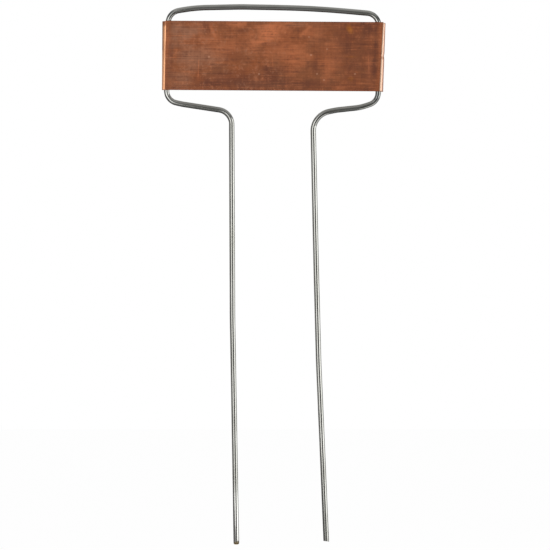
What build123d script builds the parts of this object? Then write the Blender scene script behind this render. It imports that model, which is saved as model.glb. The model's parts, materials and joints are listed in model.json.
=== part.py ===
from build123d import *
from math import cos, pi, radians, sin, tan
import os

# Plant label stake, in millimetres. One wire is bent into a head and two legs, and a
# copper plate is rolled onto the head's two uprights. +Z is up, the plate's face looks
# along -Y, and the origin is on the soil line, under the middle of the plate.

# Stock
wire_diameter = 2.3
sheet_thickness = 0.5

# Label plate, over its rolled hems. Its right end hangs a little low, and its right
# hem is rolled on a slant, narrower at the foot
plate_width = 90.3
plate_height = 27.8
plate_foot_height = 83.8
plate_tilt_degrees = 0.38
right_hem_slant = 0.8

# Room round the wire inside a hem: before and behind it, on its inner side, and on
# its outer side at the foot and at the head of each hem
hem_clearance = 0.15
hem_play = 0.6
left_foot_slack = 0.27
left_head_slack = 0.77
right_foot_slack = 0.35
right_head_slack = 1.12

# The hem's free flap comes back to the sheet at this angle and stops just short of it
flap_degrees = 65
lip_gap = 0.12

# Corner bends of the head, and how far past the hem's end each one starts. The upper
# two start inside the hem
corner_radius = 5.0
left_lower_run = 0.3
right_lower_run = 0.65
left_upper_lap = 0.6
right_upper_lap = 1.2

# From a corner's point back to the start of its bend, as a share of the bend's radius
left_lower_reach_share = 0.82
right_lower_reach_share = 0.705
left_upper_reach_share = 0.82
right_upper_reach_share = 0.905

# Top bar: its bow above the two upper corners, by shares of its length and its bow. Its
# bends are shares of the radius of one even arc of that length and bow
bar_bow = 2.47
bar_along_shares = (0.1225, 0.344, 0.69)
bar_bow_shares = (0.777, 1.0, 0.87)
bar_radius_shares = (0.18, 0.4, 1.09)

# Shoulders: from each lower corner in and down to the knee over the leg, with faint bends
shoulder_length = 26.4
left_shoulder_drop = 4.5
right_shoulder_drop = 5.4
left_shoulder_along_share = 0.247
left_shoulder_drop_share = 0.322
right_shoulder_along_shares = (0.26, 0.635)
right_shoulder_drop_shares = (0.444, 0.641)
shoulder_radius_share = 0.8
left_knee_radius = 6.0
right_knee_radius = 8.0

# Legs, from the knees down. The left one wanders in and the right one out
left_leg_length = 175.1
right_leg_length = 172.5
left_leg_drift = 1.93
right_leg_drift = 5.44
left_leg_down_share = 0.475
left_leg_drift_share = 0.18
right_leg_down_shares = (0.351, 0.581)
right_leg_drift_shares = (0.241, 0.43)
leg_bow_radius = 360

# Tips: the left one is rounded, the right one is sheared on a slant
tip_rounding = 0.75
shear_degrees = 7.5
overrun = 2.0

wire_radius = wire_diameter / 2
hem_inner = wire_radius + hem_clearance
hem_outer = hem_inner + sheet_thickness

# The plate's own plane: X along the plate, Z up its height
tilt = radians(plate_tilt_degrees)
foot_plane = Plane(
    origin=(0, 0, plate_foot_height),
    x_dir=(cos(tilt), 0, -sin(tilt)),
    z_dir=(sin(tilt), 0, cos(tilt)),
)

# Outer edges of the hems and the uprights in them, across the plate, at foot and head
left_edge = plate_width / 2
right_head_edge = plate_width / 2
right_foot_edge = right_head_edge - right_hem_slant
wire_inset = sheet_thickness + wire_radius
left_foot_upright = left_edge - wire_inset - left_foot_slack
left_head_upright = left_edge - wire_inset - left_head_slack
right_foot_upright = right_foot_edge - wire_inset - right_foot_slack
right_head_upright = right_head_edge - wire_inset - right_head_slack


def part_way(start, end, across_share, down_share):
    """Gives the point at these shares of the way from start to end, across and down."""
    return Vector(
        start.X + (end.X - start.X) * across_share,
        0,
        start.Z + (end.Z - start.Z) * down_share,
    )


def beyond(start, end, distance):
    """Gives the point this far past end, on the line from start."""
    return end + (end - start).normalized() * distance


# The uprights, and the corner points of the head on their lines
left_foot = foot_plane.from_local_coords(Vector(-left_foot_upright, 0, 0))
left_head = foot_plane.from_local_coords(Vector(-left_head_upright, 0, plate_height))
right_foot = foot_plane.from_local_coords(Vector(right_foot_upright, 0, 0))
right_head = foot_plane.from_local_coords(Vector(right_head_upright, 0, plate_height))
left_lower = beyond(left_head, left_foot, left_lower_run + corner_radius * left_lower_reach_share)
right_lower = beyond(right_head, right_foot, right_lower_run + corner_radius * right_lower_reach_share)
left_upper = beyond(left_foot, left_head, corner_radius * left_upper_reach_share - left_upper_lap)
right_upper = beyond(right_foot, right_head, corner_radius * right_upper_reach_share - right_upper_lap)

left_knee = left_lower + Vector(shoulder_length, 0, -left_shoulder_drop)
right_knee = right_lower + Vector(-shoulder_length, 0, -right_shoulder_drop)
left_tip = left_knee + Vector(left_leg_drift, 0, -left_leg_length)
right_tip = right_knee + Vector(right_leg_drift, 0, -right_leg_length)

bar_points = [
    part_way(left_upper, right_upper, along, along) + Vector(0, 0, bar_bow * bow)
    for along, bow in zip(bar_along_shares, bar_bow_shares)
]
even_bar_radius = (right_upper - left_upper).length ** 2 / (8 * bar_bow)
shoulder_radius = shoulder_length * shoulder_radius_share
right_shoulder_points = [
    part_way(right_lower, right_knee, along, drop)
    for along, drop in zip(right_shoulder_along_shares, right_shoulder_drop_shares)
]
right_leg_points = [
    part_way(right_knee, right_tip, drift, down)
    for down, drift in zip(right_leg_down_shares, right_leg_drift_shares)
]

# The wire's route from the left tip, over the head, to past the right tip
route_points = [
    left_tip,
    part_way(left_knee, left_tip, left_leg_drift_share, left_leg_down_share),
    left_knee,
    part_way(left_lower, left_knee, left_shoulder_along_share, left_shoulder_drop_share),
    left_lower,
    left_upper,
    *bar_points,
    right_upper,
    right_lower,
    *right_shoulder_points,
    right_knee,
    *right_leg_points,
    beyond(right_leg_points[-1], right_tip, overrun),
]
route_radii = [
    leg_bow_radius,
    left_knee_radius,
    shoulder_radius,
    corner_radius,
    corner_radius,
    *(even_bar_radius * share for share in bar_radius_shares),
    corner_radius,
    corner_radius,
    shoulder_radius,
    shoulder_radius,
    right_knee_radius,
    leg_bow_radius,
    leg_bow_radius,
]

with BuildPart() as wire_stake:
    with BuildLine(Plane.XZ) as route:
        FilletPolyline(*route_points, radius=route_radii)
    with BuildSketch(Plane(origin=route.line @ 0, z_dir=route.line % 0)):
        Circle(wire_radius)
    sweep(path=route.line)
    tips = wire_stake.faces().filter_by(GeomType.PLANE).sort_by(Axis.X)
    fillet(tips[0].edges(), radius=tip_rounding)
    shear_plane = Plane(origin=right_tip).rotated((0, shear_degrees, 0))
    with BuildSketch(shear_plane):
        Circle(wire_diameter)
    extrude(amount=-overrun * 2, mode=Mode.SUBTRACT)


def around(side, centre, radius, degrees):
    """Gives a point of a hem's circle, its angle counted from the back towards the middle."""
    return side * (centre - radius * sin(radians(degrees))), radius * cos(radians(degrees))


def draw_hem(side, edge, upright):
    """Draws a hem's section, from where it leaves the sheet, round its upright, to its free edge."""
    curl_centre = edge - hem_outer
    bend_centre = upright - (hem_play - hem_clearance)
    flap_drop = hem_inner * cos(radians(flap_degrees)) + hem_inner - lip_gap
    flap_run = flap_drop / tan(radians(flap_degrees))
    ends = []
    for radius in (hem_outer, hem_inner):
        curl = [around(side, curl_centre, radius, degrees) for degrees in (-180, -90, 0)]
        bend = [around(side, bend_centre, radius, flap_degrees * share) for share in (0, 0.5, 1)]
        end = bend[-1][0] - side * flap_run, bend[-1][1] - flap_drop
        ThreePointArc(*curl)
        Line(curl[-1], bend[0])
        ThreePointArc(*bend)
        Line(bend[-1], end)
        ends.append((curl[0], end))
    for outer_end, inner_end in zip(*ends):
        Line(outer_end, inner_end)


# The plate: a flat sheet between the hems, and at each end a hem rolled back round its
# upright, which follows the wire up the plate
head_plane = foot_plane.offset(plate_height)
sheet_plane = Plane(origin=foot_plane.origin, x_dir=foot_plane.x_dir, z_dir=-foot_plane.y_dir)
hems = (
    (-1, (left_edge, left_edge), (left_foot_upright, left_head_upright)),
    (1, (right_foot_edge, right_head_edge), (right_foot_upright, right_head_upright)),
)
with BuildPart() as label_plate:
    with BuildSketch(sheet_plane.offset(hem_inner)):
        Polygon(
            (hem_outer - left_edge, 0),
            (right_foot_edge - hem_outer, 0),
            (right_head_edge - hem_outer, plate_height),
            (hem_outer - left_edge, plate_height),
            align=None,
        )
    extrude(amount=sheet_thickness)
    for side, edges, uprights in hems:
        for plane, edge, upright in zip((foot_plane, head_plane), edges, uprights):
            with BuildSketch(plane):
                with BuildLine():
                    draw_hem(side, edge, upright)
                make_face()
        loft(ruled=True)

wire_stake.part.label = "wire_stake"
label_plate.part.label = "label_plate"

os.makedirs("parts", exist_ok=True)
for piece in (wire_stake.part, label_plate.part):
    export_step(piece, f"parts/{piece.label}.step")

tube_volume = pi * wire_radius**2 * route.wire().length
print("wire volume over section times length:", wire_stake.part.volume / tube_volume)
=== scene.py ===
import json
import math
from functools import partial, reduce
from types import SimpleNamespace

import bpy
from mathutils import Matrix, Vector
from mathutils.geometry import interpolate_bezier
from mathutils.kdtree import KDTree

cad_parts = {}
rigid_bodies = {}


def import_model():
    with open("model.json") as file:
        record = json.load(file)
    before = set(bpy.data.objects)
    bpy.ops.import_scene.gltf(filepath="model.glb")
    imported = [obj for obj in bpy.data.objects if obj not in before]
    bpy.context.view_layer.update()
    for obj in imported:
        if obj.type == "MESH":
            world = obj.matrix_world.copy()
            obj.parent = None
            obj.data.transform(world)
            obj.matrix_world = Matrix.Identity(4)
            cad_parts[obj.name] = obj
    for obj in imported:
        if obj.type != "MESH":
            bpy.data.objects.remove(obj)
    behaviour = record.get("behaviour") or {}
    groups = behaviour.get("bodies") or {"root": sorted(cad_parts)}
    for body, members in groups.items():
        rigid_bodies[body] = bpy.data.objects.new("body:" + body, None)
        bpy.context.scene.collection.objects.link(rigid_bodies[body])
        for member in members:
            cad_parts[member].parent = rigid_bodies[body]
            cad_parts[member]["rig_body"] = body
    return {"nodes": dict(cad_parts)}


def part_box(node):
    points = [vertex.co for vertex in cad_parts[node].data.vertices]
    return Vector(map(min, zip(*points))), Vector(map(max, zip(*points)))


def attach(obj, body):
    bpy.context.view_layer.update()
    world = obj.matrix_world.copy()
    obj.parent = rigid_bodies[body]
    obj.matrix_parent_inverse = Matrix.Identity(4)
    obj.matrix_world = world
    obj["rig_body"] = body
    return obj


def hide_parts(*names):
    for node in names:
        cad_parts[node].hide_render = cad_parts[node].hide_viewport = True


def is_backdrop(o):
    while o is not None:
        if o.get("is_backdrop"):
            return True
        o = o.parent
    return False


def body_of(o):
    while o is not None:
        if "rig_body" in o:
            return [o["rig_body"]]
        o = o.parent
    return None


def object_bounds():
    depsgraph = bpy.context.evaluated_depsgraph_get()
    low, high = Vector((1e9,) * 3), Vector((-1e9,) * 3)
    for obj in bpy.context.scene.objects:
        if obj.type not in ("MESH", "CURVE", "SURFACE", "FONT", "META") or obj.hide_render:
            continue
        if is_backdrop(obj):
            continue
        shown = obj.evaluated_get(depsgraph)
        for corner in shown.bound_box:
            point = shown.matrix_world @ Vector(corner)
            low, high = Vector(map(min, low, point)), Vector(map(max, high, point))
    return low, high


bl_info = {
    "name": "Plant Label Stake",
    "version": (1, 0, 0),
    "blender": (4, 5, 0),
    "location": "3D View > Sidebar > Label Stake",
    "description": "Dresses the packed plant label stake: drawn wire, aged copper plate, white stage",
    "category": "Object",
}

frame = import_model()
cad_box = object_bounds()

MM = 0.001
WIRE_NODE = "wire_stake"
PLATE_NODE = "label_plate"
AHEAD = Vector((0, 1, 0))

# The photograph's frame: its width in pixels, the width of one pixel at the wire, and the
# pixels that show the middle of the plate and the end of the longer leg
PHOTO_PIXELS = 550
PIXEL = 0.4045 * MM
PLATE_MIDDLE_PIXEL = 273.5
LEG_END_PIXEL = 544.6

# The pixel of the tool mark on the longer leg, half the mark's length, and how far the slant
# of the sheared end reaches up the wire
NICK_PIXEL = (239, 258)
NICK_HALF_LENGTH = 0.7 * MM
SHEAR_SPAN = 2.5 * MM

# The first part of a roll's front corner, where it eases in from the face
EASE_DEGREES = 28

# The dark cards round the stake: how far off they stand and how high they reach, in metres,
# and how far the sectors and the strip on the floor lie above it
CARD_REACH, CARD_TOP = 0.9, 0.8
SECTOR_LIFT, STRIP_LIFT = 0.2 * MM, 0.4 * MM


def photo_place(across, down):
    """Gives the point in the wire's plane that a pixel of the photograph shows."""
    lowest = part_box(WIRE_NODE)[0].z
    return Vector(((across - PLATE_MIDDLE_PIXEL) * PIXEL, 0, lowest + (LEG_END_PIXEL - down) * PIXEL))


# Reading the wire's route from the frame


def packed_corners(node):
    """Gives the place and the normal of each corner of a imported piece's faces."""
    mesh = frame["nodes"][node].data
    for loop, normal in zip(mesh.loops, mesh.corner_normals):
        yield mesh.vertices[loop.vertex_index].co.copy(), normal.vector.copy()


def wire_rings():
    """Gives the wire's radius, and the centre and direction of each ring of points round it.

    A point on the wire's side lies one radius along its normal from the centreline, which runs
    in the plane Y = 0, so the points' own normals give the centreline and its direction.
    """
    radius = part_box(WIRE_NODE)[1].y
    off_plane, steepest, same_ring, fewest = 0.004 * MM, 0.3, 0.05 * MM, 30
    samples = []
    for place, out in packed_corners(WIRE_NODE):
        centre = place - radius * out
        flat = Vector((out.x, 0, out.z))
        if abs(centre.y) < off_plane and flat.length > steepest:
            samples.append((centre, flat.cross(AHEAD).normalized()))
    tree = KDTree(len(samples))
    for index, (centre, _) in enumerate(samples):
        tree.insert(centre, index)
    tree.balance()
    used = set()
    rings = []
    for index, (centre, direction) in enumerate(samples):
        if index in used:
            continue
        near = [found for _, found, _ in tree.find_range(centre, same_ring)]
        used.update(near)
        if len(near) < fewest:
            continue
        middle = sum((samples[i][0] for i in near), Vector()) / len(near)
        turned = [math.copysign(1, samples[i][1].dot(direction)) * samples[i][1] for i in near]
        rings.append((middle, sum(turned, Vector()).normalized()))
    return radius, rings


def walk(rings):
    """Puts the rings in order, from the lowest one along the wire to its other end."""
    straight_on = 0.985
    waiting = list(rings)
    here, direction = min(waiting, key=lambda ring: ring[0].z)
    waiting.remove((here, direction))
    direction = math.copysign(1, direction.z) * direction
    route = [(here, direction)]
    while waiting:
        ahead = [r for r in waiting if (r[0] - here).normalized().dot(direction) > straight_on]
        if not ahead:
            break
        nearest = min(ahead, key=lambda ring: (ring[0] - here).length)
        waiting.remove(nearest)
        direction = math.copysign(1, nearest[1].dot(nearest[0] - here)) * nearest[1]
        here = nearest[0]
        route.append((here, direction))
    return route


def end_face(point, outward):
    """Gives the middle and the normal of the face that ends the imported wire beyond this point."""
    facing, reach, same_place = 0.98, 5 * MM, 0.01 * MM
    found = {}
    for place, normal in packed_corners(WIRE_NODE):
        way = place - point
        beyond = way.dot(outward) > 0 and way.cross(outward).length < reach
        if beyond and normal.dot(outward) > facing:
            found[tuple(round(c / same_place) for c in place)] = (place, normal)
    places, normals = zip(*found.values())
    return sum(places, Vector()) / len(found), sum(normals, Vector()).normalized()


def joined_places(route, together):
    """Gives the route's places, with those closer than this joined into one.

    Where a bend starts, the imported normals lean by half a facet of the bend, so that one ring is
    read as two or three.
    """
    clusters = []
    for place, _ in route:
        if clusters and (place - clusters[-1][0]).length < together:
            clusters[-1].append(place)
        else:
            clusters.append([place])
    return [sum(cluster, Vector()) / len(cluster) for cluster in clusters]


def directions_at(places):
    """Gives the route's direction at each place.

    It runs along the longer chord beside the place where a straight run meets a bend, and else
    along the circle through the place and the two beside it.
    """
    directions = [(places[1] - places[0]).normalized()]
    for before, here, after in zip(places, places[1:], places[2:]):
        back, onward = here - before, after - here
        shorter, longer = sorted((back, onward), key=lambda chord: chord.length)
        if longer.length > 2 * shorter.length:
            directions.append(longer.normalized())
        else:
            even = back.normalized() / back.length + onward.normalized() / onward.length
            directions.append(even.normalized())
    directions.append((places[-1] - places[-2]).normalized())
    return directions


def wire_route():
    """Gives the wire's radius, its route as (point, direction) pairs, and its slanted end face."""
    radius, rings = wire_rings()
    route = walk(rings)
    if len(route) < len(rings):
        raise RuntimeError("Some of the wire's rings are not on its route")
    start, inward = route[0]
    first = start + inward * (end_face(start, -inward)[0] - start).dot(inward)
    last_face = end_face(*route[-1])
    last = Vector((last_face[0].x, 0, last_face[0].z))
    clear_of_tip = [ring for ring in route if (ring[0] - first).length > 2 * radius]
    places = [first, *joined_places(clear_of_tip, together=0.2 * MM), last]
    return radius, list(zip(places, directions_at(places))), last_face


def along_route(route, settings):
    """Gives points along the route and the bend at each one, in radians per metre.

    The steps are short in the bends, and shorter still over the rounding of the first tip.
    """
    straight_turn, slow_bend, tip_steps = 1e-4, 20, 8
    first, outward = route[0]
    quarter = [math.pi / 2 * i / tip_steps for i in range(tip_steps + 1)]
    points = [first + outward * settings.tip_rounding * (1 - math.cos(a)) for a in quarter]
    bends = [0.0] * len(points)
    for (start, leaving), (end, arriving) in zip([(points[-1], outward), *route[1:]], route[1:]):
        chord = (end - start).length
        turn = leaving.angle(arriving, 0)
        handle = chord / 3
        if turn > straight_turn:
            handle = 4 / 3 * math.tan(turn / 4) * chord / (2 * math.sin(turn / 2))
        step = settings.bend_step if turn / chord > slow_bend else settings.straight_step
        count = max(1, round(chord / step))
        handles = (start + leaving * handle, end - arriving * handle)
        curve = interpolate_bezier(start, *handles, end, count + 1)
        points += curve[1:]
        bends += [math.copysign(turn, leaving.cross(arriving).y) / chord] * count
    return points, bends


def smoothed(values, width):
    """Gives each value as the mean of those within width places of it."""
    windows = [values[max(0, i - width) : i + width + 1] for i in range(len(values))]
    return [sum(window) / len(window) for window in windows]


# Node trees


def arithmetic(operation, swapped=False):
    """Gives a method that adds the node for an operation on a value and another one."""

    def method(self, other):
        return self.build.maths(operation, *((other, self) if swapped else (self, other)))

    return method


class Value:
    """A node's output. Arithmetic on it adds Math nodes, or Vector Math nodes for a vector."""

    __add__, __mul__ = arithmetic("ADD"), arithmetic("MULTIPLY")
    __sub__, __rsub__ = arithmetic("SUBTRACT"), arithmetic("SUBTRACT", swapped=True)
    __truediv__, __rtruediv__ = arithmetic("DIVIDE"), arithmetic("DIVIDE", swapped=True)
    __lt__, __gt__ = arithmetic("LESS_THAN"), arithmetic("GREATER_THAN")

    def __init__(self, build, socket):
        self.build = build
        self.socket = socket

    def __abs__(self):
        return self.build.maths("ABSOLUTE", self)

    def span(self, low, high, to_low=0.0, to_high=1.0):
        """Carries the value smoothly from one span to another, and holds it at both ends."""
        inputs = {0: self, 1: low, 2: high, 3: to_low, 4: to_high}
        return self.build.value("ShaderNodeMapRange", inputs, interpolation_type="SMOOTHSTEP")

    def is_vector(self):
        return self.socket.type == "VECTOR"

    def attribute_kind(self):
        return "FLOAT_VECTOR" if self.is_vector() else "FLOAT"


class Build:
    """Adds nodes to a tree. An input may be a number, a vector, a colour or a Value."""

    MIX_SOCKETS = {"FLOAT": (2, 3, 0), "VECTOR": (4, 5, 1), "RGBA": (6, 7, 2)}

    def __init__(self, tree):
        self.tree = tree

    def add(self, kind, inputs=None, **settings):
        node = self.tree.nodes.new(kind)
        for name, value in settings.items():
            setattr(node, name, value)
        for key, value in (inputs or {}).items():
            if isinstance(value, Value):
                self.tree.links.new(value.socket, node.inputs[key])
            else:
                node.inputs[key].default_value = value
        return node

    def values(self, kind, inputs, outputs, **settings):
        """Adds a node and gives these of its outputs."""
        node = self.add(kind, inputs, **settings)
        return [Value(self, node.outputs[output]) for output in outputs]

    def value(self, kind, inputs=None, output=0, **settings):
        return self.values(kind, inputs, [output], **settings)[0]

    def maths(self, operation, *values, clamp=False):
        inputs = dict(enumerate(values))
        if any(isinstance(value, Value) and value.is_vector() for value in values):
            single = operation in ("LENGTH", "DISTANCE", "DOT_PRODUCT")
            output = "Value" if single else "Vector"
            return self.value("ShaderNodeVectorMath", inputs, output, operation=operation)
        return self.value("ShaderNodeMath", inputs, operation=operation, use_clamp=clamp)

    def largest(self, values):
        return reduce(lambda first, second: self.maths("MAXIMUM", first, second), values)

    def split(self, vector):
        return self.values("ShaderNodeSeparateXYZ", {0: vector}, range(3))

    def join(self, *parts):
        return self.value("ShaderNodeCombineXYZ", dict(enumerate(parts)))

    def mix(self, factor, first, second):
        """Mixes two numbers, vectors or colours, whichever the second one is."""
        kind = "FLOAT" if isinstance(second, float) else "RGBA"
        if isinstance(second, Value):
            kind = second.socket.type.replace("VALUE", "FLOAT")
        a, b, output = self.MIX_SOCKETS[kind]
        return self.value("ShaderNodeMix", {0: factor, a: first, b: second}, output, data_type=kind)

    def layered(self, colour, *layers):
        """Lays colours over a colour, each one by its mask."""
        for mask, new in layers:
            colour = self.mix(mask, colour, new)
        return colour

    def noise(self, vector, scale, **inputs):
        inputs = {label(name): value for name, value in inputs.items()}
        return self.value("ShaderNodeTexNoise", {"Vector": vector, "Scale": scale, **inputs})

    def turned(self, vector, angle, axis):
        inputs = {"Vector": vector, "Angle": angle}
        return self.value("ShaderNodeVectorRotate", inputs, rotation_type=axis)

    def group(self, name, **inputs):
        """Places a shared shader group. An input's name has _ for each space."""
        inputs = {label(key): value for key, value in inputs.items()}
        return self.value("ShaderNodeGroup", inputs, node_tree=shader_group(name))

    def attribute(self, name, vector=False):
        """Reads one of the piece's attributes, in a material or in a geometry tree."""
        if self.tree.bl_idname == "ShaderNodeTree":
            output = "Vector" if vector else "Fac"
            settings = {"attribute_name": name, "attribute_type": "GEOMETRY"}
            return self.value("ShaderNodeAttribute", {}, output, **settings)
        kind = "FLOAT_VECTOR" if vector else "FLOAT"
        return self.value("GeometryNodeInputNamedAttribute", {"Name": name}, data_type=kind)

    def attributes(self, *names):
        return [self.attribute(name) for name in names]

    def stored(self, geometry, name, value):
        """Stores a value on the points of a geometry."""
        inputs = {"Geometry": geometry, "Name": name, "Value": value}
        settings = {"data_type": value.attribute_kind(), "domain": "POINT"}
        return self.value("GeometryNodeStoreNamedAttribute", inputs, **settings)


def label(name):
    """Gives the words that stand on a socket for a name with _ between them."""
    return name.replace("_", " ").title()


# The kind of socket for each kind of default
SOCKETS = {
    float: "NodeSocketFloat",
    int: "NodeSocketInt",
    tuple: "NodeSocketVector",
    bpy.types.Material: "NodeSocketMaterial",
    type(None): "NodeSocketGeometry",
}


def new_group(name, kind, inputs, output, output_socket):
    """Makes a node group with these inputs. Gives its builder and what the group is given."""
    tree = bpy.data.node_groups.new(name, kind)
    for key, default in inputs.items():
        item = tree.interface.new_socket(label(key), in_out="INPUT", socket_type=SOCKETS[type(default)])
        if default is not None:
            item.default_value = default
    tree.interface.new_socket(output, in_out="OUTPUT", socket_type=output_socket)
    build = Build(tree)
    given = build.values("NodeGroupInput", {}, [label(key) for key in inputs])
    return build, SimpleNamespace(**dict(zip(inputs, given)))


# Shader groups

SHADER_GROUPS = {}


def shared(**inputs):
    """Lists the function below it as the maker of a shared shader group with these inputs."""

    def listed(make):
        SHADER_GROUPS[make.__name__] = (make, {"vector": (0, 0, 0), **inputs})
        return make

    return listed


def shader_group(name):
    """Gives a shared shader group, which is built the first time that it is needed."""
    if name not in bpy.data.node_groups:
        make, inputs = SHADER_GROUPS[name]
        build, given = new_group(name, "ShaderNodeTree", inputs, "Value", "NodeSocketFloat")
        build.add("NodeGroupOutput", {"Value": make(build, given)})
    return bpy.data.node_groups[name]


@shared(cells=(1, 1, 1), contrast=0.5)
def grain(build, given):
    """Fine lines: noise drawn out by a different number of cells per metre along each axis."""
    drawn = build.noise(given.vector * given.cells, 1.0, detail=3.0, roughness=0.6)
    return drawn.span(0.5 - given.contrast, given.contrast + 0.5)


@shared(patch_size=0.01, contrast=0.2)
def mottle(build, given):
    """Soft patches, broken up by smaller ones."""
    cells = 1.0 / given.patch_size
    broad = build.noise(given.vector, cells, distortion=0.6)
    small = build.noise(given.vector, cells * 4.3, detail=3.0, roughness=0.6, distortion=0.3)
    return build.mix(0.35, broad, small).span(0.5 - given.contrast, given.contrast + 0.5)


@shared(spacing=0.005, speck_size=0.0004, share=0.3)
def specks(build, given):
    """Scattered round specks: a share of the cells of a grid of this spacing holds one."""
    cells = 1.0 / given.spacing
    inputs = {"Vector": given.vector, "Scale": cells}
    distance, cell = build.values("ShaderNodeTexVoronoi", inputs, ("Distance", "Color"))
    reach = given.speck_size * cells
    holds_one = build.split(cell)[0] < given.share
    return distance.span(reach * 0.3, reach, 1.0, 0.0) * holds_one


@shared(wear=0.0, breakup_size=0.002)
def handling(build, given):
    """Wear where a piece is bent or rubbed: a wear value, broken up by noise."""
    broken = build.noise(given.vector, 1.0 / given.breakup_size, detail=3.0, roughness=0.6)
    ragged = (broken - 0.5) * 0.9 + given.wear
    return ragged.span(0.15, 0.8) * given.wear


@shared(centre=(0, 0, 0), size=(0.01, 1.0, 0.01), turn=0.0)
def smudge(build, given):
    """A soft oval smudge with a ragged edge, in the plane of X and Z."""
    turned = build.turned(given.vector - given.centre, given.turn, "Y_AXIS")
    flat = turned / given.size * (1, 0, 1)
    broad_cells, fine_cells = 190.0, (90, 90, 900)
    broad = build.noise(given.vector, broad_cells, detail=4.0, roughness=0.65) - 0.5
    fine = build.noise(given.vector * fine_cells, 1.0, detail=3.0) - 0.5
    reach = build.maths("LENGTH", flat) + (fine * 0.8 + broad * 1.7)
    return reach.span(0.1, 1.15, 1.0, 0.0)


@shared(start=(0, 0, 0), end=(0, 0, 0.01), width=0.0003)
def scratch(build, given):
    """A thin straight scratch in the plane of X and Z that fades towards both ends."""
    away = (given.vector - given.start) * (1, 0, 1)
    whole = (given.end - given.start) * (1, 0, 1)
    products = [build.maths("DOT_PRODUCT", way, whole) for way in (away, whole)]
    share = build.maths("DIVIDE", *products, clamp=True)
    aside = build.maths("DISTANCE", away, whole * share)
    line = aside.span(given.width * 0.2, given.width, 1.0, 0.0)
    fade = share.span(0.0, 0.2) * share.span(0.8, 1.0, 1.0, 0.0)
    break_cells = 900.0
    broken = build.noise(given.vector, break_cells).span(0.35, 0.6, 0.35, 1.0)
    return line * fade * broken


# Materials

# Smudges on the face of the plate, by the colour that they lay on, in their order: the
# photograph's pixels at the middle, half the size across and up in millimetres, a turn in
# degrees where it has one, and the strength
SMUDGES = {
    "copper_hazy": {
        "upper_left": ((186, 32), (9.0, 4.5), 0.68),
        "left_head": ((175, 34), (3.6, 7.0), 0.6),
        "left": ((196, 56), (11.0, 7.0), 0.62),
        "left_foot": ((180, 79), (7.0, 5.0), 0.48),
        "middle": ((214, 62), (7.0, 6.0), 0.26),
        "foot_middle": ((262, 84), (16.0, 2.0), 0.25),
        "top_middle": ((300, 24), (10.0, 1.6), 0.35),
    },
    # These bright smudges are partly patina and partly painted reflection of the face's lighter bands and
    # glows, and the strips along the rolls' sides are painted highlights
    "copper_bright": {
        "upper_middle": ((270, 33), (9.0, 5.2), 15, 0.85),
        "upper_middle_left": ((258, 27), (3.4, 2.4), 0.45),
        "upper_left_red": ((236, 23), (5.0, 2.4), 0.8),
        "middle_orange": ((254, 46), (3.6, 4.6), -28, 0.7),
        "left_streak": ((212, 30), (0.9, 4.2), 24, 0.45),
        "diagonal": ((264, 34), (1.6, 6.0), -42, 0.45),
        "centre_red": ((300, 56), (6.0, 6.0), -10, 0.5),
        "right_red": ((332, 63), (6.5, 6.0), 0.42),
        "foot_right": ((325, 79), (2.6, 3.6), 0.4),
        "far_right_band": ((369, 66), (1.4, 8.0), 0.35),
        "right_roll_highlight": ((380, 50), (1.0, 15.0), -2, 0.5),
        "foot_left_red": ((218, 78), (7.0, 2.0), 0.3),
        "right_diagonal": ((306, 31), (1.2, 4.6), -42, 0.55),
        "upper_right_streak": ((286, 24), (5.0, 1.0), 25, 0.4),
        "middle_left": ((226, 46), (15.0, 5.6), 0.34),
        "middle_glow": ((284, 52), (11.0, 6.0), 0.42),
        "upper_right_red": ((314, 33), (5.0, 7.0), 0.34),
        "right_glow": ((333, 45), (6.0, 4.0), 0.28),
        "lower_glow": ((290, 71), (5.0, 3.6), 0.3),
        "foot_right_red": ((340, 88), (4.0, 1.2), 0.5),
        "left_roll_highlight": ((168, 40), (1.2, 12.0), 0.25),
    },
    "copper_dark": {
        "foot_middle": ((272, 76), (9.0, 4.6), 0.5),
        "foot_left": ((208, 84), (5.0, 1.9), 4, 0.55),
        "middle": ((267, 68), (2.6, 2.2), 0.6),
        "upper_left": ((206, 28), (2.4, 3.4), 20, 0.45),
        "upper_gap": ((242, 31), (3.4, 1.2), 8, 0.35),
        "left_edge": ((170, 58), (1.6, 9.0), 0.45),
        "middle_right": ((316, 68), (2.0, 4.0), 0.45),
        "right_foot": ((352, 66), (6.0, 5.0), 0.3),
        "right_head": ((360, 25), (6.0, 2.4), 0.55),
        "right_corner": ((369, 30), (4.6, 4.0), 0.6),
        "far_right": ((375, 56), (1.2, 14.0), -2, 0.6),
        "right_middle": ((346, 40), (7.0, 4.0), 0.25),
        "foot_right": ((300, 84), (12.0, 1.6), 0.35),
        "whole_foot": ((274, 86), (52.0, 4.0), 0.43),
        "whole_right": ((360, 46), (18.0, 19.0), 0.33),
        "left_lower": ((226, 78), (15.0, 4.2), 0.48),
        "right_edge": ((371, 68), (2.4, 3.6), 0.4),
        "below_middle": ((273, 45), (4.0, 1.6), 0.3),
        "left_of_middle": ((232, 54), (6.0, 2.4), 0.3),
        "olive_band": ((347, 50), (1.2, 13.0), 0.3),
    },
    "copper_golden": {
        "right_head": ((350, 29), (1.5, 2.2), 25, 0.9),
        "right_middle": ((351, 57), (3.6, 0.5), 0.45),
        "right_foot": ((351, 79), (1.6, 1.2), 0.3),
    },
}
# Painted shade on three of the wire's bends: the pixel at the middle, half the size, the turn in degrees,
# and the strength
SHADED_BENDS = {
    "upper_left": ((169, 13.5), (1.8, 3.6), -38, 0.95),
    "upper_right": ((379.5, 16.5), (2.1, 4.2), 35, 0.95),
    "lower_right": ((377.5, 94.5), (2.4, 4.4), -25, 0.9),
}
# Dull stretches of the wire: the pixel at the middle, half the size, and the strength
DULL_STRETCHES = {
    "above_mark": ((232, 236), (3.0, 9.0), 0.9),
    "left_leg": ((230, 190), (3.0, 8.0), 0.4),
    "right_leg": ((314, 285), (3.0, 4.0), 0.4),
    "left_lower": ((236, 478), (3.0, 6.0), 0.35),
}
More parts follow.
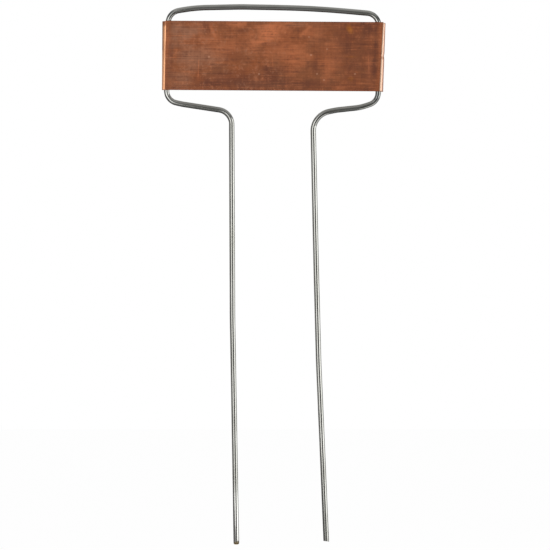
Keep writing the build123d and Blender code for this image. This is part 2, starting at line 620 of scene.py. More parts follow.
# Scratches: the pixels at both ends, the width in millimetres and the strength
SCRATCHES = {
    "left_upright": ((199, 58), (198, 79), 0.36, 0.75),
    "right_upright": ((368, 50), (369, 76), 0.36, 0.5),
    "middle_upright": ((272, 54), (273, 68), 0.36, 0.55),
    "left_curl": ((173, 56), (178, 50), 0.4, 0.5),
    "wiped": ((220, 53), (232, 51), 0.36, 0.45),
    "left_light": ((213, 22), (210, 36), 0.36, 0.4),
    "rubbed": ((262, 55), (270, 56), 0.36, 0.5),
}
# Pale specks that stand out: the pixel at the middle, and half the size in millimetres
PALE_SPECKS = ((209, 57), (309, 37), (259, 74), (327, 49), (324, 80), (311, 55), (355, 74), (317, 74))
PALE_SPECK_HALF = (0.55, 0.5)


def bare_tree(owner):
    """Empties the node tree of a material or a world and gives its builder."""
    owner.use_nodes = True
    owner.node_tree.nodes.clear()
    return Build(owner.node_tree)


def new_material(name):
    material = bpy.data.materials.new(name)
    return material, bare_tree(material)


def metal_surface(build, colour, roughness, relief, metallic, strength, depth):
    """Ends a material in a metal surface with a bump from the relief, this strong and deep."""
    bump = build.value("ShaderNodeBump", {"Strength": strength, "Distance": depth, "Height": relief})
    inputs = {"Base Color": colour, "Roughness": roughness, "Metallic": metallic, "Normal": bump}
    shader = build.value("ShaderNodeBsdfPrincipled", inputs)
    build.add("ShaderNodeOutputMaterial", {"Surface": shader})


def smudge_at(build, place, middle, half, degrees=0):
    """A smudge by the pixel at its middle, half its size in millimetres, and its turn."""
    size = (half[0] * MM, 1.0, half[1] * MM)
    turn = math.radians(degrees)
    return build.group("smudge", vector=place, centre=photo_place(*middle), size=size, turn=turn)


def scratch_at(build, place, start, end, width):
    """A scratch by the pixels at its ends and its width in millimetres."""
    ends = {"start": photo_place(*start), "end": photo_place(*end)}
    return build.group("scratch", vector=place, width=width * MM, **ends)


def marked(build, place, make, marks):
    """The strongest of a table's marks at each place, each with its own strength."""
    return build.largest([make(build, place, *mark) * strength for *mark, strength in marks.values()])


def smudged(build, place, colour, settings):
    """Lays the smudges of the plate's face over a colour, in their order."""
    for name, smudges in SMUDGES.items():
        for *mark, strength in smudges.values():
            mask = smudge_at(build, place, *mark) * strength
            colour = build.mix(mask, colour, getattr(settings, name))
    return colour


def rubbed_and_highlit_rolls(build, place, turn, right, rise):
    """How bright the rolls are: rubbed clean copper with a painted highlight stripe along each front
    corner, the left one further out at its foot, the right one all over.
    """
    waist_rise, crease_rise = 0.58, 0.49
    rubbed_from = build.mix(right, rise.span(0.55, 0.78, 0.09, 0.02), 0.02)
    rubbed_to = build.mix(right, rise.span(0.42, 0.62, 1.3, 0.54), 1.6)
    crown = turn.span(rubbed_from, rubbed_from + 0.18)
    crown = crown * turn.span(rubbed_to, rubbed_to + 0.35, 1.0, 0.0)
    worn = build.group("handling", vector=place, wear=crown, breakup_size=3 * MM)
    least = build.mix(right, rise.span(0.3, 0.5, 0.85, 0.42), 0.42)
    rub_cells = (500, 500, 260)
    uneven = build.noise(place * rub_cells, 1.0, detail=3.0).span(0.35, 0.6, least, 0.9)
    # The left roll's stripe is dimmer round its waist and at its head, and painted shade darkens the right
    # roll's stripe at its crease
    waist = build.largest([right, abs(rise - waist_rise).span(0.03, 0.2, 0.82, 1.0)])
    crease = build.mix(right, 1.0, abs(rise - crease_rise).span(0.0, 0.04, 0.5, 1.0))
    head = build.largest([right, rise.span(0.9, 0.97, 1.0, 0.15)])
    return build.largest([worn, crown * uneven]) * waist * crease * head


def copper_material(settings):
    """Aged copper sheet: brown, brushed lengthwise, smudged with patina and painted reflections, and rubbed
    bright on its rolls, with painted highlight stripes there.
    """
    material, build = new_material("aged_copper")
    place = build.value("ShaderNodeTexCoord", output="Object")
    turn, side, rise, rim = build.attributes("turn", "side", "rise", "rim")
    group = partial(build.group, vector=place)

    patches = group("mottle", patch_size=12 * MM, contrast=0.2)
    clouds = group("mottle", patch_size=3.5 * MM, contrast=0.25)
    grainy = group("mottle", patch_size=1.3 * MM, contrast=0.22)
    brushed = group("grain", cells=(70, 70, 2300), contrast=0.3)
    wiped = group("grain", cells=(1300, 1300, 80), contrast=0.3)
    tone = build.mix(0.62, clouds, brushed)
    tone = build.mix(0.16, tone, wiped)
    tone = build.mix(0.16, tone, grainy)
    colour = build.mix(patches, settings.copper_brown, settings.copper_red)
    colour = smudged(build, place, colour, settings)
    bloom = grainy.span(0.45, 0.9) * clouds.span(0.3, 0.8) * side.span(-0.3, 0.4, 1.0, 0.12)

    scratches = marked(build, place, scratch_at, SCRATCHES)
    dust = group("specks", spacing=4.5 * MM, speck_size=0.34 * MM, share=0.2)
    pale = [smudge_at(build, place, middle, PALE_SPECK_HALF) for middle in PALE_SPECKS]
    flecks = build.largest([*pale, dust * 0.4])

    right = side > 0.0
    # Where the rolls are bright: rubbed clean copper with a painted highlight stripe, paler pink round the
    # right roll's edge
    bright = rubbed_and_highlit_rolls(build, place, turn, right, rise)
    polished_and_highlit = build.mix(turn.span(0.4, 0.8), settings.copper_polished, settings.copper_pink)
    clean = build.mix(right, settings.copper_clean, polished_and_highlit)
    cut = group("handling", wear=rim, breakup_size=1.5 * MM)

    colour = build.layered(
        colour,
        (bloom * 0.55, settings.copper_hazy),
        (tone.span(0.2, 0.5, 0.6, 0.0), settings.copper_dark),
        (tone.span(0.5, 0.8, 0.0, 0.42), settings.copper_bright),
        (scratches * 0.6, settings.copper_bright),
        (flecks * 0.45, settings.copper_scratched),
        (bright, clean),
        (cut * 0.4, settings.copper_dark),
    )
    roughness = build.mix(bright, build.mix(tone, 0.54, 0.44), 0.3)
    relief = build.largest([scratches, flecks]) * -0.6 + build.mix(0.3, brushed, clouds)
    metal_surface(build, colour, roughness, relief, metallic=0.6, strength=0.3, depth=0.012 * MM)
    return material


def wire_material(settings):
    """Galvanised drawn wire: grey, with fine lines from the die, dull and rubbed stretches, and painted
    shade on three of its bends.
    """
    material, build = new_material("galvanised_wire")
    place = build.value("ShaderNodeTexCoord", output="Object")
    straight = build.attribute("wire_space", vector=True)
    group = partial(build.group, vector=straight)
    along = build.split(straight)[2]
    wound = build.turned(straight, along * (math.radians(360) / settings.drawing_twist), "Z_AXIS")
    patches = group("grain", cells=(300, 300, 55), contrast=0.2)
    clouds = group("grain", cells=(700, 700, 180), contrast=0.25)
    lines = build.group("grain", vector=wound, cells=(1500, 1500, 12), contrast=0.25)
    bend = abs(build.attribute("bend"))
    worn = group("handling", wear=bend, breakup_size=2 * MM)
    flecks = group("specks", spacing=5 * MM, speck_size=0.35 * MM, share=0.2)
    hazy = marked(build, place, smudge_at, DULL_STRETCHES)
    # Painted shade on three of the wire's bends
    dark = marked(build, place, smudge_at, SHADED_BENDS)
    # The soil has rubbed the longer leg's end smooth and clean, and its tip is stained
    rubbed = along.span(5 * MM, 35 * MM, 1.0, 0.0)
    tip = along.span(0.5 * MM, 2.2 * MM, 1.0, 0.0)
    stained = group("handling", wear=tip, breakup_size=1.2 * MM)

    colour = build.layered(
        build.mix(patches, settings.zinc_dull, settings.zinc),
        (clouds * 0.2, settings.zinc_light),
        (lines * 0.35, settings.zinc_dull),
        (worn * 0.3, settings.zinc_light),
        (rubbed * 0.6, settings.zinc_clean),
        (stained, settings.rust),
        (flecks * 0.5, settings.zinc_dull),
        (hazy * 0.35, settings.zinc_olive),
        (dark, settings.zinc_dark),
    )
    dull = build.mix(patches, 0.16, 0.08) + clouds * 0.05 + hazy * 0.18
    roughness = dull * (1.0 - rubbed * 0.6) + stained * 0.25
    relief = build.mix(0.15, lines, clouds)
    metal_surface(build, colour, roughness, relief, metallic=1.0, strength=0.15, depth=0.003 * MM)
    return material


# Geometry trees


def chosen(settings, *names):
    """Gives the settings with these names, as the inputs of a geometry tree."""
    return {name: getattr(settings, name) for name in names}


def new_geometry_tree(name, inputs):
    inputs = {"geometry": None, **inputs}
    return new_group(name, "GeometryNodeTree", inputs, "Geometry", "NodeSocketGeometry")


def finished(build, geometry, shift, material):
    """Moves the points and shades them smooth. Ends the tree in a real mesh with its material."""
    steps = {
        "GeometryNodeSetPosition": {"Offset": shift},
        "GeometryNodeSetShadeSmooth": {},
        "GeometryNodeRealizeInstances": {},
        "GeometryNodeSetMaterial": {"Material": material},
    }
    for kind, inputs in steps.items():
        geometry = build.value(kind, {"Geometry": geometry, **inputs})
    build.add("NodeGroupOutput", {"Geometry": geometry})
    return build.tree


def wire_tree(inputs):
    """Draws a round wire along a chain of points, with a rounded start and bends pressed flat."""
    build, given = new_geometry_tree("Drawn Wire", inputs)
    curve = build.value("GeometryNodeMeshToCurve", {"Mesh": given.geometry})
    curve = build.stored(curve, "along", build.value("GeometryNodeSplineParameter", output="Length"))
    curve = build.value("GeometryNodeSetCurveNormal", {"Curve": curve, "Normal": AHEAD}, mode="FREE")
    round_one = {"Resolution": given.wire_sides, "Radius": 1.0}
    circle = build.value("GeometryNodeCurvePrimitiveCircle", round_one)
    ring = build.stored(circle, "ring", build.value("GeometryNodeInputPosition"))
    # The start's radius follows a quarter circle over the rounding
    along = build.attribute("along")
    short = 1.0 - build.maths("DIVIDE", along, given.tip_rounding, clamp=True)
    rounded = build.maths("SQRT", 1.0 - short * short)
    thick = given.radius - (1.0 - rounded) * given.tip_rounding
    drawn = {"Curve": curve, "Profile Curve": ring, "Scale": thick, "Fill Caps": True}
    tube = build.value("GeometryNodeCurveToMesh", drawn)
    across, deep, _ = build.split(build.attribute("ring", vector=True))
    straight = build.join(across * given.radius, deep * given.radius, along)
    tube = build.stored(tube, "wire_space", straight)
    straight = build.attribute("wire_space", vector=True)
    wave = build.noise(straight, 1.0 / given.ripple_length, detail=1.0)
    pressed = abs(build.attribute("bend")) * given.bend_flattening
    inward = wave * given.wire_ripple + pressed + build.attribute("nick")
    shift = build.value("GeometryNodeInputNormal") * (inward * -1.0)
    return finished(build, tube, shift, given.material)


def spread_sheet(build, given):
    """A sheet from the foot section to the head one, which keeps where each of its points lies."""
    rim_share = 0.015
    size = {"Vertices X": given.columns, "Vertices Y": given.plate_rows}
    sheet = build.value("GeometryNodeMeshGrid", size)
    index = build.value("GeometryNodeInputIndex")
    column = build.maths("FLOOR", index / given.plate_rows)
    row = index - column * given.plate_rows
    sheet = build.stored(sheet, "rise", row / (given.plate_rows - 1.0))
    sheet = build.stored(sheet, "column", column)

    def sampled(value, index):
        where = {"Geometry": given.geometry, "Value": value, "Index": index}
        kind = value.attribute_kind()
        return build.value("GeometryNodeSampleIndex", where, data_type=kind, domain="POINT")

    turn, side, rise, column = build.attributes("turn", "side", "rise", "column")
    position = build.value("GeometryNodeInputPosition")
    foot = sampled(position, column)
    head = sampled(position, column + given.columns)
    place = build.mix(rise, foot, head)
    sheet = build.value("GeometryNodeSetPosition", {"Geometry": sheet, "Position": place})
    sheet = build.stored(sheet, "turn", sampled(turn, column))
    sheet = build.stored(sheet, "side", sampled(side, column))
    return build.stored(sheet, "rim", abs(rise - 0.5).span(0.5 - rim_share, 0.5))


def plate_tree(inputs):
    """Spreads a sheet between two sections, and gives it the unevenness of hand work."""
    build, given = new_geometry_tree("Rolled Plate", inputs)
    sheet = spread_sheet(build, given)
    crease_reach, left_sag_share = 0.045, 0.5
    turn, side, rise = build.attributes("turn", "side", "rise")
    position = build.value("GeometryNodeInputPosition")
    # The face gives way a little between the rolls
    flat = turn.span(0.0, 0.4, 1.0, 0.0)
    dish = abs(side).span(0.0, 1.0, 1.0, 0.0) * given.plate_bow
    wave = build.noise(position, 1.0 / given.wave_length, detail=1.0) * given.plate_waviness
    inward = (dish + wave * abs(side).span(0.9, 1.0, 1.0, 0.0)) * flat
    # The right roll has a small crease, and the rolls' outer sides hang lower than the face
    rolled = turn.span(0.0, 1.0)
    right = side > 0.0
    crease = abs(rise - given.crease_height).span(0.0, crease_reach, 1.0, 0.0) * right * rolled
    hanging = rolled * turn.span(1.4, 2.2, 1.0, 0.0)
    drop = hanging * given.roll_sag * build.mix(right, left_sag_share, 1.0)
    # The face runs a little past the rolls at its head and foot
    past = (rise * 2.0 - 1.0) * flat * given.face_overhang
    shift = build.join(crease * given.crease_depth * -1.0, inward, past - drop)
    return finished(build, sheet, shift, given.material)


def new_object(name, data):
    made = bpy.data.objects.new(name, data)
    bpy.context.scene.collection.objects.link(made)
    return made


def grown(name, base, tree, inputs, finish=None):
    """Runs a geometry tree on a mesh and gives what comes out as a plain mesh object."""
    source = new_object(name, base)
    modifier = source.modifiers.new("Nodes", "NODES")
    modifier.node_group = tree
    sockets = {item.name: item.identifier for item in tree.interface.items_tree if item.in_out == "INPUT"}
    for key, value in inputs.items():
        modifier[sockets[label(key)]] = value
    if finish:
        finish(source)
    bpy.context.view_layer.update()
    evaluated = source.evaluated_get(bpy.context.evaluated_depsgraph_get())
    mesh = bpy.data.meshes.new_from_object(evaluated)
    bpy.data.objects.remove(source)
    return new_object(name, mesh)


def points_mesh(name, points, values, joined):
    """A mesh of points, joined in a chain or loose, with named values on the points."""
    mesh = bpy.data.meshes.new(name)
    edges = [(i, i + 1) for i in range(len(points) - 1)] if joined else []
    mesh.from_pydata(points, edges, [])
    for key, numbers in values.items():
        mesh.attributes.new(key, "FLOAT", "POINT").data.foreach_set("value", numbers)
    return mesh


# The plate's section


def face_corners():
    """Gives the four corners of the plate's flat face: foot left and right, head left and right."""
    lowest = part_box(PLATE_NODE)[0].y
    touch = 0.001 * MM
    front = [place for place, _ in packed_corners(PLATE_NODE) if place.y < lowest + touch]

    def furthest(across, up):
        return max(front, key=lambda co: across * co.x + up * co.z)

    return furthest(-1, -1), furthest(1, -1), furthest(-1, 1), furthest(1, 1)


def crossings(points, origin, normal):
    """Gives where the route crosses a plane, from left to right."""
    found = []
    for a, b in zip(points, points[1:]):
        above, below = (a - origin).dot(normal), (b - origin).dot(normal)
        if above * below <= 0 and above != below:
            found.append(a.lerp(b, above / (above - below)))
    return sorted(found, key=lambda point: point.x)


def arc(centre, radius, start, end, count):
    """Points on an arc, its angles in degrees from the depth axis towards the outside."""
    angles = [math.radians(start + (end - start) * i / count) for i in range(count + 1)]
    return [(centre[0] + radius * math.sin(a), centre[1] + radius * math.cos(a)) for a in angles]


def roll_section(settings, edge, upright, curl, roll_radius, wire_radius):
    """One roll's section from the face outward: (distance out, depth, turn) along its middle line.

    Its front corner has the width of the curl, and eases in before it turns round the edge.
    """
    half = settings.sheet_thickness / 2
    middle = roll_radius - half
    room = roll_radius - settings.sheet_thickness - wire_radius
    out = edge - half
    flap = settings.flap_angle
    bend = upright - (settings.roll_play - room)
    drop = (middle - half) * (1 + math.cos(flap)) - settings.lip_gap
    width, edge_radius = curl
    front_steps, back_steps, bend_steps = 6, 10, 8
    ease = math.sin(math.radians(EASE_DEGREES))
    ease_radius = (width - edge_radius * (1 - ease)) / ease
    front = arc((out - width, ease_radius - middle), ease_radius, 180, 180 - EASE_DEGREES, front_steps)
    edge_centre = (out - edge_radius, front[-1][1] + edge_radius * math.sqrt(1 - ease**2))
    front += arc(edge_centre, edge_radius, 180 - EASE_DEGREES, 90, front_steps)[1:]
    back = arc((out - middle, 0), middle, 90, 0, back_steps)
    turned = arc((bend, 0), middle, 0, -math.degrees(flap), bend_steps)
    points = []
    for turn, stretch in enumerate((front, back, turned)):
        points += [(x, y, turn + i / (len(stretch) - 1)) for i, (x, y) in enumerate(stretch)]
    end = turned[-1]
    for share in (0.33, 0.67, 1.0):
        run = drop / math.tan(flap) * share
        points.append((end[0] - run, end[1] - drop * share, 3.0))
    return points


def plate_section(left, right):
    """The whole section, from the left flap to the right one: (across, depth, turn, side)."""
    face_columns = 120
    start, end = -left[0][0], right[0][0]
    across = [start + (end - start) * i / face_columns for i in range(1, face_columns)]
    face = [(x, left[0][1], 0.0, 2 * (x - start) / (end - start) - 1) for x in across]
    left_roll = [(-x, y, turn, -1.0) for x, y, turn in reversed(left)]
    return left_roll + face + [(x, y, turn, 1.0) for x, y, turn in right]


# The pieces


def place_piece(piece, node, sharp_degrees):
    """Puts a finished piece in the place of the CAD node that it dresses."""
    piece.data.set_sharp_from_angle(angle=math.radians(sharp_degrees))
    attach(piece, body_of(frame["nodes"][node])[0])
    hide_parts(node)


def shear_end(mesh, outward, face, span):
    """Slants the wire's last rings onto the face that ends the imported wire."""
    middle, normal = face
    lengths = [item.value for item in mesh.attributes["along"].data]
    whole = max(lengths)
    for vertex, length in zip(mesh.vertices, lengths):
        back = whole - length
        if back < span:
            slant = (middle - vertex.co).dot(normal) / outward.dot(normal) - back
            vertex.co += outward * slant * (1 - back / span)


def make_wire(settings):
    radius, route, last_face = wire_route()
    points, bends = along_route(route, settings)
    tightest = max(abs(bend) for bend in bends)
    bends = smoothed([bend / tightest for bend in bends], width=3)
    nick = photo_place(*NICK_PIXEL)
    nicks = [settings.nick_depth * math.exp(-(((p - nick).length / NICK_HALF_LENGTH) ** 2)) for p in points]
    base = points_mesh("wire_chain", points, {"bend": bends, "nick": nicks}, joined=True)
    names = ("wire_sides", "tip_rounding", "wire_ripple", "ripple_length", "bend_flattening")
    inputs = {**chosen(settings, *names), "radius": radius, "material": wire_material(settings)}
    piece = grown("galvanised_wire", base, wire_tree(inputs), inputs)
    shear_end(piece.data, route[-1][1], last_face, SHEAR_SPAN)
    place_piece(piece, WIRE_NODE, sharp_degrees=35)


def plate_sections(settings):
    """The sections of the plate at its foot and head, with the turn and the side at each point."""
    wire_radius, route, _ = wire_route()
    route_points, _ = along_route(route, settings)
    foot_left, foot_right, head_left, head_right = face_corners()
    middle = (head_left + head_right) / 2
    across = (head_right - head_left).normalized()
    upward = across.cross(AHEAD)
    roll_radius = -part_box(PLATE_NODE)[0].y
    foot_curls = (settings.left_foot_curl, settings.left_foot_edge), (settings.right_foot_curl,) * 2
    head_curls = (settings.left_head_curl,) * 2, (settings.right_head_curl,) * 2
    ends = ((foot_left, foot_right, foot_curls), (head_left, head_right, head_curls))
    points, turns, sides = [], [], []
    for left, right, curls in ends:
        found = crossings(route_points, left, upward)
        if len(found) < 2:
            raise RuntimeError("The wire's two uprights were not found at the plate's edge")
        level = middle + upward * (left - middle).dot(upward)
        rolls = []
        for corner, upright, curl in zip((left, right), (found[0], found[-1]), curls):
            edge = abs((corner - level).dot(across)) + roll_radius
            upright = abs((upright - level).dot(across))
            rolls.append(roll_section(settings, edge, upright, curl, roll_radius, wire_radius))
        for out, depth, turn, side in plate_section(*rolls):
            points.append(Vector((level.x, 0, level.z)) + across * out + AHEAD * depth)
            turns.append(turn)
            sides.append(side)
    return points_mesh("plate_sections", points, {"turn": turns, "side": sides}, joined=False)


def thicken(settings, piece):
    """Gives the sheet its thickness and rounds its cut edges."""
    solid = piece.modifiers.new("Sheet", "SOLIDIFY")
    solid.thickness = settings.sheet_thickness
    solid.offset = 0
    solid.use_even_offset = True
    edge = piece.modifiers.new("Edge", "BEVEL")
    edge.width = settings.edge_rounding
    edge.segments = 2
    edge.limit_method = "ANGLE"
    edge.angle_limit = math.radians(60)


def make_plate(settings):
    base = plate_sections(settings)
    names = ("plate_rows", "plate_bow", "plate_waviness", "wave_length", "roll_sag", "face_overhang")
    inputs = chosen(settings, *names, "crease_height", "crease_depth")
    inputs |= {"columns": len(base.vertices) // 2, "material": copper_material(settings)}
    finish = partial(thicken, settings)
    piece = grown("aged_copper_plate", base, plate_tree(inputs), inputs, finish)
    place_piece(piece, PLATE_NODE, sharp_degrees=50)


# The stage


def seen(build):
    """Gives 1 for camera, glossy and transmission rays and 0 for the others."""
    rays = ("Is Camera Ray", "Is Glossy Ray", "Is Transmission Ray")
    return build.largest(build.values("ShaderNodeLightPath", {}, rays))


def glow(build, tone):
    return build.value("ShaderNodeEmission", {"Color": (tone, tone, tone, 1), "Strength": 1.0})


def stage_panel(name, corners, material):
    """A flat stage piece through these corners."""
    mesh = bpy.data.meshes.new(name)
    mesh.from_pydata(corners, [], [tuple(range(len(corners)))])
    mesh.materials.append(material)
    panel = new_object(name, mesh)
    panel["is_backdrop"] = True
    return panel


def add_floor(settings, level):
    """A floor that is white to rays that see it, and matt and nearly white for the light."""
    material, build = new_material("white_floor")
    matt = build.value("ShaderNodeBsdfDiffuse", {"Color": settings.floor_colour})
    share = build.mix(seen(build), 0.0, settings.floor_whiteness)
    both = build.value("ShaderNodeMixShader", {0: share, 1: matt, 2: glow(build, 1.0)})
    build.add("ShaderNodeOutputMaterial", {"Surface": both})
    reach = settings.stage_reach
    ends = ((-reach, -reach), (reach, -reach), (reach, reach), (-reach, reach))
    stage_panel("floor", [(x, y, level) for x, y in ends], material)


def dark_card(name, corners, tone):
    """A dark card beside the camera's view that only reflections show."""
    material, build = new_material(name)
    build.add("ShaderNodeOutputMaterial", {"Surface": glow(build, tone)})
    card = stage_panel(name, corners, material)
    for rays in ("camera", "diffuse", "shadow", "transmission"):
        setattr(card, f"visible_{rays}", False)


def white_world(fill):
    """White for rays that see the world, and an even fill for the light it gives."""
    world = bpy.data.worlds.new("studio")
    bpy.context.scene.world = world
    build = bare_tree(world)
    strength = build.mix(seen(build), fill, 1.0)
    sky = build.value("ShaderNodeBackground", {"Color": (1, 1, 1, 1), "Strength": strength})
    build.add("ShaderNodeOutputWorld", {"Surface": sky})


def around_stake(turn, distance, z):
    """A point this far from the stake, its angle counted from straight in front to the right."""
    return Vector((distance * math.sin(turn), -distance * math.cos(turn), z))


def tall_lamp(name, turn, half, centre, radiance):
    """An upright soft lamp, its place and half its width as angles round the stake."""
    distance, height = 0.7, 0.62
    width = 2 * distance * math.tan(half)
    data = bpy.data.lights.new(name, "AREA")
    data.shape = "RECTANGLE"
    data.size = width
    data.size_y = height
    data.energy = radiance * math.pi * width * height
    lamp = new_object(name, data)
    lamp.location = centre + around_stake(turn, distance, 0)
    lamp.rotation_euler = (math.radians(90), 0, turn)
    lamp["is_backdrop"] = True


def add_upright_cards(settings, foot, highest):
    """Dark cards that stand in front of the stake and beside it."""
    front_left, front_right = (-CARD_REACH, -CARD_REACH), (CARD_REACH, -CARD_REACH)
    rear_left, rear_right = (-CARD_REACH, CARD_REACH), (CARD_REACH, CARD_REACH)
    cards = {
        "card_front_low": (front_left, front_right, foot, highest, settings.gap_tone),
        "card_front": (front_left, front_right, highest, CARD_TOP, settings.front_card_tone),
        "card_left": (front_left, rear_left, foot, CARD_TOP, settings.left_card_tone),
        "card_right": (front_right, rear_right, foot, CARD_TOP, settings.right_card_tone),
    }
    for name, (start, end, low, high, tone) in cards.items():
        dark_card(name, [(*start, low), (*end, low), (*end, high), (*start, high)], tone)


def add_level_cards(settings, level):
    """A dark card above the stake, and a strip of them on the floor before and behind it."""
    strip_left, strip_right, near = -0.14, 0.065, 0.26
    whole, strip = (-CARD_REACH, CARD_REACH), (strip_left, strip_right)
    far_strip = (-strip_right, strip_right)
    cards = {
        "card_above": (whole, whole, CARD_TOP, settings.upper_card_tone),
        "card_below": (strip, (-near, 0), level, settings.lower_card_tone),
        "card_far_below": (far_strip, (-CARD_REACH, -near), level, settings.lower_card_tone),
        "card_behind": (strip, (0, CARD_REACH), level, settings.rear_card_tone),
    }
    for name, ((left, right), (front, rear), height, tone) in cards.items():
        corners = ((left, front), (right, front), (right, rear), (left, rear))
        dark_card(name, [(x, y, height) for x, y in corners], tone)


def add_sector_cards(settings, level):
    """Dark sectors on the floor, which stays white under the lamps alone."""
    steps = 8
    left_lamp, left_half = settings.left_lamp_angle, settings.left_lamp_half
    right_lamp, right_half = settings.right_lamp_angle, settings.right_lamp_half
    cards = {
        "card_floor_left": (-math.pi, -left_lamp - left_half, 0.5 * settings.left_card_tone),
        "card_floor_front": (-left_lamp + left_half, right_lamp - right_half, settings.gap_tone),
        "card_floor_right": (right_lamp + right_half, math.pi, settings.right_card_tone),
    }
    for name, (first, last, tone) in cards.items():
        turns = [first + (last - first) * i / steps for i in range(steps + 1)]
        rim = [around_stake(turn, CARD_REACH, level) for turn in turns]
        dark_card(name, [(0, 0, level), *rim], tone)


def add_camera(middle, distance):
    """A camera straight in front, whose picture is as wide as the photograph."""
    data = bpy.data.cameras.new("camera")
    data.lens = data.sensor_width * distance / (PHOTO_PIXELS * PIXEL)
    data.clip_end = 100
    camera = new_object("camera", data)
    camera.location = middle - AHEAD * distance
    camera.rotation_euler = (math.radians(90), 0, 0)
    bpy.context.scene.camera = camera


def make_stage(settings):
    lowest, highest = cad_box[0].z, cad_box[1].z
    middle = photo_place(PHOTO_PIXELS / 2, PHOTO_PIXELS / 2)
    bpy.context.scene.view_settings.view_transform = "Standard"
    white_world(settings.fill)
    add_floor(settings, lowest)
    add_upright_cards(settings, lowest + SECTOR_LIFT, highest)
    add_level_cards(settings, lowest + STRIP_LIFT)
    add_sector_cards(settings, lowest + SECTOR_LIFT)
    left, right = -settings.left_lamp_angle, settings.right_lamp_angle
    tall_lamp("lamp_left", left, settings.left_lamp_half, middle, settings.left_lamp)
    tall_lamp("lamp_right", right, settings.right_lamp_half, middle, settings.right_lamp)
    add_camera(middle, settings.camera_distance)


# The add-on


def length(name, description, millimetres):
    default = millimetres * MM
    return bpy.props.FloatProperty(
        name=name, description=description, default=default, min=0.0, precision=5, unit="LENGTH"
    )


def colour(name, description, red, green, blue):
    default = (red, green, blue, 1.0)
    return bpy.props.FloatVectorProperty(
        name=name, description=description, default=default, min=0.0, max=1.0, size=4, subtype="COLOR"
    )


def amount(name, description, value):
    return bpy.props.FloatProperty(name=name, description=description, default=value, min=0.0)


def angle(name, description, degrees):
    return bpy.props.FloatProperty(
        name=name, description=description, default=math.radians(degrees), subtype="ANGLE"
    )


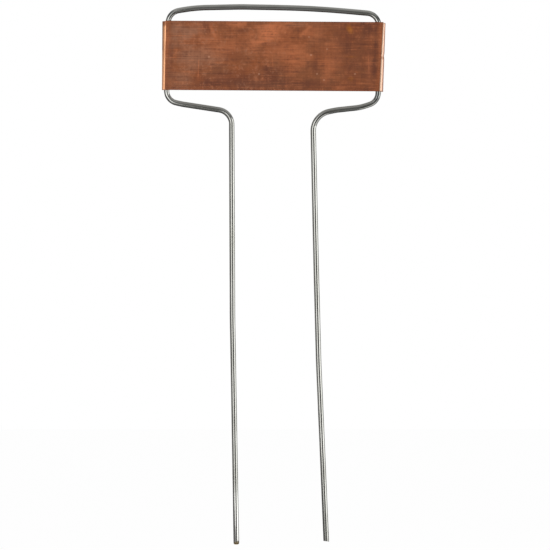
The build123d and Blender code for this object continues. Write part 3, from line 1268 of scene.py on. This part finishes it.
class LabelStakeSettings(bpy.types.PropertyGroup):
    """Sizes and colours of the plant label stake"""

    wire_sides: bpy.props.IntProperty(
        name="Wire Sides", description="Faces round the wire", default=48, min=8
    )
    bend_step: length("Bend Step", "Distance between rings where the wire bends", 0.4)
    straight_step: length("Straight Step", "Distance between rings where the wire is straight", 0.9)
    tip_rounding: length("Tip Rounding", "Radius of the rounded edge at the longer leg's tip", 0.75)
    drawing_twist: length("Drawing Twist", "Length of one turn of the wire's drawing lines", 90)
    wire_ripple: length("Wire Ripple", "Depth of the unevenness left by drawing the wire", 0.012)
    ripple_length: length("Ripple Length", "Distance between one dip of the wire and the next", 5.0)
    bend_flattening: length("Bend Flattening", "How far tools pressed the wire in at its bends", 0.03)
    nick_depth: length("Nick Depth", "Depth of the tool mark on the longer leg", 0.05)
    sheet_thickness: length("Sheet Thickness", "Thickness of the copper sheet", 0.5)
    roll_play: length("Roll Play", "Room beside the upright, on its inner side", 0.6)
    lip_gap: length("Lip Gap", "Gap between a roll's free edge and the sheet", 0.12)
    flap_angle: angle("Flap Angle", "Angle at which a roll's flap comes back to the sheet", 65)
    left_foot_curl: length("Left Foot Curl", "Front corner width at the left roll's foot", 1.3)
    left_foot_edge: length("Left Foot Edge", "Radius of the outer edge at the left roll's foot", 0.5)
    left_head_curl: length("Left Head Curl", "Front corner radius at the left roll's head", 1.45)
    right_foot_curl: length("Right Foot Curl", "Front corner radius at the right roll's foot", 1.5)
    right_head_curl: length("Right Head Curl", "Front corner radius at the right roll's head", 0.85)
    plate_rows: bpy.props.IntProperty(
        name="Plate Rows", description="Rows of points up the plate", default=56, min=4
    )
    plate_bow: length("Plate Bow", "How far the face gives way in its middle", 0.15)
    plate_waviness: length("Plate Waviness", "Depth of the waves in the face", 0.1)
    wave_length: length("Wave Length", "Distance between one wave of the face and the next", 16)
    crease_height: amount("Crease Height", "Share of the plate's height below the crease", 0.52)
    crease_depth: length("Crease Depth", "Depth of the crease in the right roll", 0.18)
    roll_sag: length("Roll Sag", "How far the rolls hang below the face", 0.3)
    face_overhang: length("Face Overhang", "How far the face runs past the rolls' ends", 0.12)
    edge_rounding: length("Edge Rounding", "Radius of the sheet's cut edges", 0.06)
    copper_dark: colour("Dark Copper", "Darkest patina on the plate", 0.150, 0.046, 0.026)
    copper_brown: colour("Brown Copper", "Usual colour of the aged plate", 0.290, 0.099, 0.040)
    copper_red: colour("Red Copper", "Redder patches of the plate", 0.355, 0.103, 0.035)
    copper_hazy: colour("Hazy Copper", "Hazy grey-brown patches of the plate", 0.39, 0.180, 0.104)
    # Also the colour of painted reflections on the face and painted highlights along the rolls' sides
    copper_bright: colour("Bright Copper", "Bright orange smudges on the plate", 0.68, 0.215, 0.085)
    copper_scratched: colour("Scratched Copper", "Scratches and pale specks", 0.80, 0.42, 0.26)
    # Colours of the rolls' rubbed copper, which also carry their painted highlight stripes
    copper_clean: colour("Clean Copper", "Copper rubbed clean on the left roll", 0.84, 0.41, 0.21)
    copper_polished: colour("Polished Copper", "Copper rubbed bright on the right roll", 0.72, 0.49, 0.35)
    copper_pink: colour("Pink Copper", "Paler copper round the right roll's edge", 0.52, 0.255, 0.175)
    copper_golden: colour("Golden Copper", "Golden spots of patina on the plate", 0.50, 0.165, 0.02)
    zinc: colour("Zinc", "Usual colour of the galvanised wire", 0.52, 0.52, 0.49)
    zinc_dull: colour("Dull Zinc", "Dull patches of the wire", 0.34, 0.34, 0.31)
    zinc_light: colour("Light Zinc", "Rubbed places of the wire", 0.66, 0.66, 0.63)
    zinc_olive: colour("Olive Zinc", "Dull olive stretches of the wire", 0.50, 0.50, 0.42)
    zinc_clean: colour("Clean Zinc", "The longer leg's rubbed end", 0.80, 0.80, 0.77)
    # Colour of the painted shade on the wire's bends
    zinc_dark: colour("Dark Zinc", "Dark patina on the wire's bends", 0.15, 0.16, 0.155)
    rust: colour("Rust", "Brown stain on the longer leg's tip", 0.46, 0.34, 0.18)
    fill: amount("Fill", "Even light from all round", 0.69)
    left_lamp: amount("Left Lamp", "Brightness of the left lamp", 1.65)
    right_lamp: amount("Right Lamp", "Brightness of the right lamp", 1.85)
    left_lamp_angle: angle("Left Lamp Angle", "Angle of the left lamp from straight in front", 28)
    left_lamp_half: angle("Left Lamp Half", "Half the left lamp's width, as an angle", 19)
    right_lamp_angle: angle("Right Lamp Angle", "Angle of the right lamp from straight in front", 66)
    right_lamp_half: angle("Right Lamp Half", "Half the right lamp's width, as an angle", 24)
    front_card_tone: amount("Front Card Tone", "Tone of the card in front", 0.25)
    gap_tone: amount("Gap Tone", "Tone of the cards between the lamps", 0.08)
    left_card_tone: amount("Left Card Tone", "Tone of the cards on the left", 0.25)
    right_card_tone: amount("Right Card Tone", "Tone of the cards on the right", 0.32)
    lower_card_tone: amount("Lower Card Tone", "Tone of the cards below", 0.25)
    rear_card_tone: amount("Rear Card Tone", "Tone of the card below and behind", 0.05)
    upper_card_tone: amount("Upper Card Tone", "Tone of the card above", 0.5)
    floor_colour: colour("Floor Colour", "Colour of the floor under the light", 0.9, 0.9, 0.9)
    floor_whiteness: amount("Floor Whiteness", "Share of white in the floor as it is seen", 0.97)
    stage_reach: length("Stage Reach", "Half the floor's width", 6000)
    camera_distance: length("Camera Distance", "From the camera to the wire", 8000)


class LABELSTAKE_OT_add_wire(bpy.types.Operator):
    """Dresses the bent wire with its two legs, shoulders and head"""

    bl_idname = "label_stake.add_wire"
    bl_label = "Add Wire"

    def execute(self, context):
        make_wire(context.scene.label_stake)
        return {"FINISHED"}


class LABELSTAKE_OT_add_plate(bpy.types.Operator):
    """Dresses the copper plate that is rolled onto the wire's uprights"""

    bl_idname = "label_stake.add_plate"
    bl_label = "Add Plate"

    def execute(self, context):
        make_plate(context.scene.label_stake)
        return {"FINISHED"}


class LABELSTAKE_OT_add_stage(bpy.types.Operator):
    """Adds the white floor, the lamps, the cards for reflections and the camera"""

    bl_idname = "label_stake.add_stage"
    bl_label = "Add Stage"

    def execute(self, context):
        make_stage(context.scene.label_stake)
        return {"FINISHED"}


class LABELSTAKE_PT_panel(bpy.types.Panel):
    """Lists the pieces of the plant label stake"""

    bl_label = "Plant Label Stake"
    bl_space_type = "VIEW_3D"
    bl_region_type = "UI"
    bl_category = "Label Stake"

    def draw(self, context):
        for operator in OPERATORS:
            self.layout.operator(operator.bl_idname)
        for name in LabelStakeSettings.__annotations__:
            self.layout.prop(context.scene.label_stake, name)


OPERATORS = (LABELSTAKE_OT_add_wire, LABELSTAKE_OT_add_plate, LABELSTAKE_OT_add_stage)
CLASSES = (LabelStakeSettings, *OPERATORS, LABELSTAKE_PT_panel)


def register():
    for kind in CLASSES:
        bpy.utils.register_class(kind)
    bpy.types.Scene.label_stake = bpy.props.PointerProperty(type=LabelStakeSettings)


def unregister():
    del bpy.types.Scene.label_stake
    for kind in reversed(CLASSES):
        bpy.utils.unregister_class(kind)


def main():
    register()
    bpy.ops.label_stake.add_wire()
    bpy.ops.label_stake.add_plate()
    bpy.ops.label_stake.add_stage()
    boxes = {"cad": cad_box, "visual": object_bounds()}
    lists = {name: [list(corner) for corner in box] for name, box in boxes.items()}


if __name__ == "__main__":
    main()
